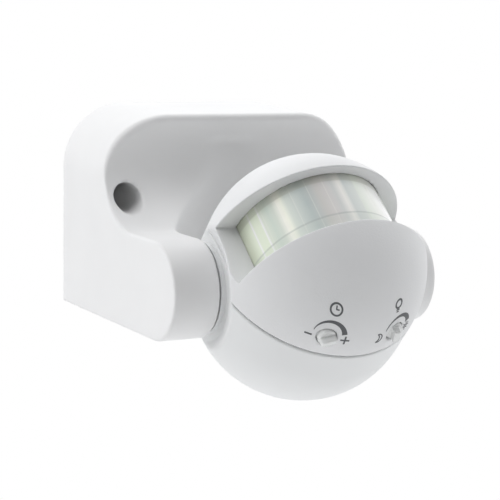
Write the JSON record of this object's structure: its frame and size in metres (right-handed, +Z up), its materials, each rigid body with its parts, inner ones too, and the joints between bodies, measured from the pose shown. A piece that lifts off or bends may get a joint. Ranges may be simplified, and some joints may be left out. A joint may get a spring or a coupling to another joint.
{
  "type": "motion sensor",
  "caption": "Wall-mounted infrared motion sensor: a ball-shaped head with a half-round lens and two adjusting knobs tilts between the arms of a hollow bracket.",
  "frame": {"origin": "on the wall plane, midway between the two wall screws", "axes": "+X along the wall, to the right seen from the front; +Y into the wall; +Z up. The head looks towards -Y."},
  "size_m": [0.08, 0.1089, 0.0763],
  "materials": {
    "casing_white": "white moulded ABS, fine satin",
    "head_grey": "cool white moulded ABS",
    "head_grain": "cool white moulded ABS with a fine spark grain",
    "lens_milk": "milky infrared-clear polyethylene",
    "knob_milk": "translucent nylon",
    "rubber_grey": "soft seal",
    "foam_grey": "closed-cell foam",
    "plate_white": "moulded ABS",
    "inner_black": "black moulded nylon",
    "board_green": "solder-masked glass laminate",
    "relay_blue": "moulded case",
    "film_yellow": "moulded case",
    "can_dark": "sleeved can",
    "varistor_blue": "dipped coating",
    "terminal_pa": "moulded polyamide",
    "socket_cream": "moulded nylon",
    "chip_black": "moulded epoxy",
    "cell_orange": "coated ceramic",
    "pot_blue": "moulded case",
    "can_metal": "nickel-plated can",
    "filter_dark": "silicon filter",
    "brass_plain": "turned brass",
    "steel_zinc": "zinc-plated steel",
    "lead_black": "PVC sheath"
  },
  "bodies": {
    "bracket": {"bracket_housing": "casing_white", "base_plate": "plate_white", "wall_gasket": "foam_grey", "base_plate_screws": "steel_zinc", "cable_grommet": "rubber_grey", "cable_clamp": "inner_black", "clamp_screws": "steel_zinc", "terminal_block": "terminal_pa", "terminal_cages": "brass_plain", "terminal_screws": "steel_zinc", "power_board": "board_green", "power_board_screws": "steel_zinc", "relay": "relay_blue", "film_capacitor": "film_yellow", "electrolytic_capacitor": "can_dark", "varistor": "varistor_blue", "lead_socket": "socket_cream", "friction_washer_left": "rubber_grey", "friction_washer_right": "rubber_grey", "pivot_seal_left": "rubber_grey", "pivot_seal_right": "rubber_grey", "arm_lead": "lead_black"},
    "head": {"head_rear_shell": "head_grey", "head_front_shell": "head_grain", "head_seal": "rubber_grey", "head_screws": "steel_zinc", "fresnel_lens": "lens_milk", "lens_frame": "inner_black", "sensor_board": "board_green", "sensor_board_screws": "steel_zinc", "pyro_holder": "inner_black", "pyro_sensor": "can_metal", "pyro_window": "filter_dark", "photocell": "cell_orange", "control_chip": "chip_black", "sensor_capacitors": "can_dark", "sensor_socket": "socket_cream", "time_pot": "pot_blue", "lux_pot": "pot_blue", "pivot_hub_left": "head_grey", "pivot_hub_right": "head_grey", "pivot_clip_left": "steel_zinc", "pivot_clip_right": "steel_zinc", "head_lead": "lead_black"},
    "time_dial": {"time_knob": "knob_milk"},
    "lux_dial": {"lux_knob": "knob_milk"}
  },
  "joints": [
    {"name": "head_tilt", "type": "hinge", "parent": "bracket", "child": "head", "pos_m": [0, -0.0647, -0.0209], "axis": [1, 0, 0], "range_deg": [-6, 79]},
    {"name": "time_turn", "type": "hinge", "parent": "head", "child": "time_dial", "pos_m": [-0.01, -0.10359, -0.0286], "axis": [0, 0.7547, 0.6561], "range_deg": [-135, 135]},
    {"name": "lux_turn", "type": "hinge", "parent": "head", "child": "lux_dial", "pos_m": [0.01, -0.10359, -0.0286], "axis": [0, 0.7547, 0.6561], "range_deg": [-135, 135]}
  ]
}
